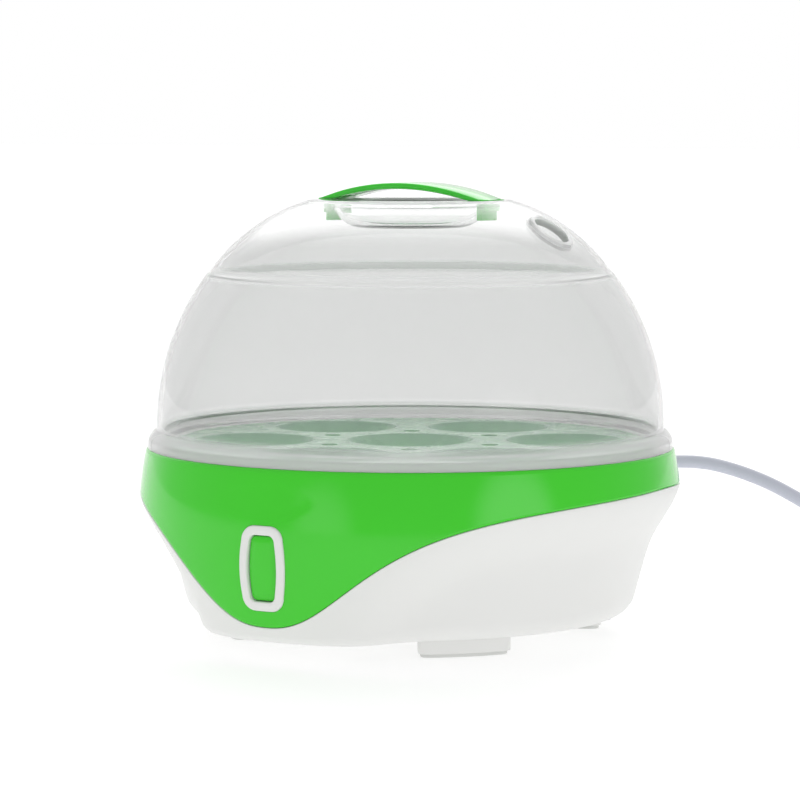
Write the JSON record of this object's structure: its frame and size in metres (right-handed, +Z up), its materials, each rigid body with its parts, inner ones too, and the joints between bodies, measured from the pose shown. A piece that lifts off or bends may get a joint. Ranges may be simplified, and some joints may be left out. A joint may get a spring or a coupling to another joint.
{
  "type": "egg cooker",
  "caption": "Round countertop egg cooker: clear domed lid with green arched handle, green band with tongue-shaped button panel, white swept base, green rack and coiled mains cord.",
  "frame": {"origin": "on the table, under the middle of the round body", "axes": "+Z up, -Y out of the button panel at the front, +X to the right as seen from the front"},
  "size_m": [0.2569, 0.3909, 0.1565],
  "materials": {
    "green_plastic": "glossy apple-green ABS",
    "white_plastic": "glossy white ABS",
    "clear_plastic": "clear moulded polycarbonate",
    "deck_plastic": "white heat-proof plastic, satin",
    "plate_steel": "brushed stainless steel",
    "aluminium": "cast aluminium",
    "zinc_steel": "zinc-plated steel",
    "brass": "brass",
    "silicone": "translucent white silicone",
    "pad_rubber": "light grey rubber",
    "cord_pvc": "lavender-grey PVC, satin",
    "black_plastic": "black phenolic",
    "wire_red": "red silicone sleeve",
    "wire_blue": "blue PVC sleeve",
    "wire_white": "white glass sleeve",
    "plug_metal": "nickel-plated brass",
    "tie_plastic": "black twist tie"
  },
  "bodies": {
    "base": {"base_housing": "white_plastic", "band_shell": "green_plastic", "button_bezel": "white_plastic", "switch_body": "black_plastic", "switch_bracket": "deck_plastic", "button_spring": "zinc_steel", "inner_deck": "deck_plastic", "deck_screws": "zinc_steel", "plate_seal": "silicone", "heating_plate": "plate_steel", "heat_spreader": "aluminium", "heater_element": "zinc_steel", "heater_pins": "brass", "element_strap": "zinc_steel", "clamp_stud": "zinc_steel", "clamp_nut": "zinc_steel", "thermostat": "black_plastic", "thermostat_strip": "aluminium", "thermostat_screws": "zinc_steel", "thermal_fuse": "wire_white", "fuse_clip": "aluminium", "terminal_block": "deck_plastic", "terminal_screws": "brass", "clamp_base": "deck_plastic", "clamp_bar": "deck_plastic", "clamp_screws": "zinc_steel", "strain_relief": "cord_pvc", "power_cord": "cord_pvc", "cord_tail": "cord_pvc", "cord_coil": "cord_pvc", "cord_tie": "tie_plastic", "plug_body": "cord_pvc", "plug_pins": "plug_metal", "inner_cord": "cord_pvc", "supply_wire_live": "wire_red", "supply_wire_neutral": "wire_blue", "wire_block_to_switch": "wire_red", "wire_switch_to_thermostat": "wire_red", "wire_thermostat_to_fuse": "wire_white", "wire_fuse_to_element": "wire_white", "wire_block_to_element": "wire_blue", "foot_pad_front_right": "pad_rubber", "foot_pad_front_left": "pad_rubber", "foot_pad_back_right": "pad_rubber", "foot_pad_back_left": "pad_rubber"},
    "button": {"button_cap": "green_plastic", "switch_plunger": "black_plastic"},
    "lid": {"lid_dome": "clear_plastic", "lid_handle": "green_plastic"},
    "rack": {"egg_rack": "green_plastic"}
  },
  "joints": [
    {"name": "button_press", "type": "slide", "parent": "base", "child": "button", "axis": [0, 1, 0], "range_m": [0, 0.0024], "stiffness_N_per_m": 500, "springref_m": -0.002, "deforming": ["button_spring"]},
    {"name": "lid_lift", "type": "slide", "parent": "base", "child": "lid", "axis": [0, 0, 1], "range_m": [0, 0.2]},
    {"name": "rack_lift", "type": "slide", "parent": "base", "child": "rack", "axis": [0, 0, 1], "range_m": [0, 0.08]}
  ],
  "couplings": [
    {"joint": "rack_lift", "follows": "lid_lift", "ratio": 0.4}
  ]
}
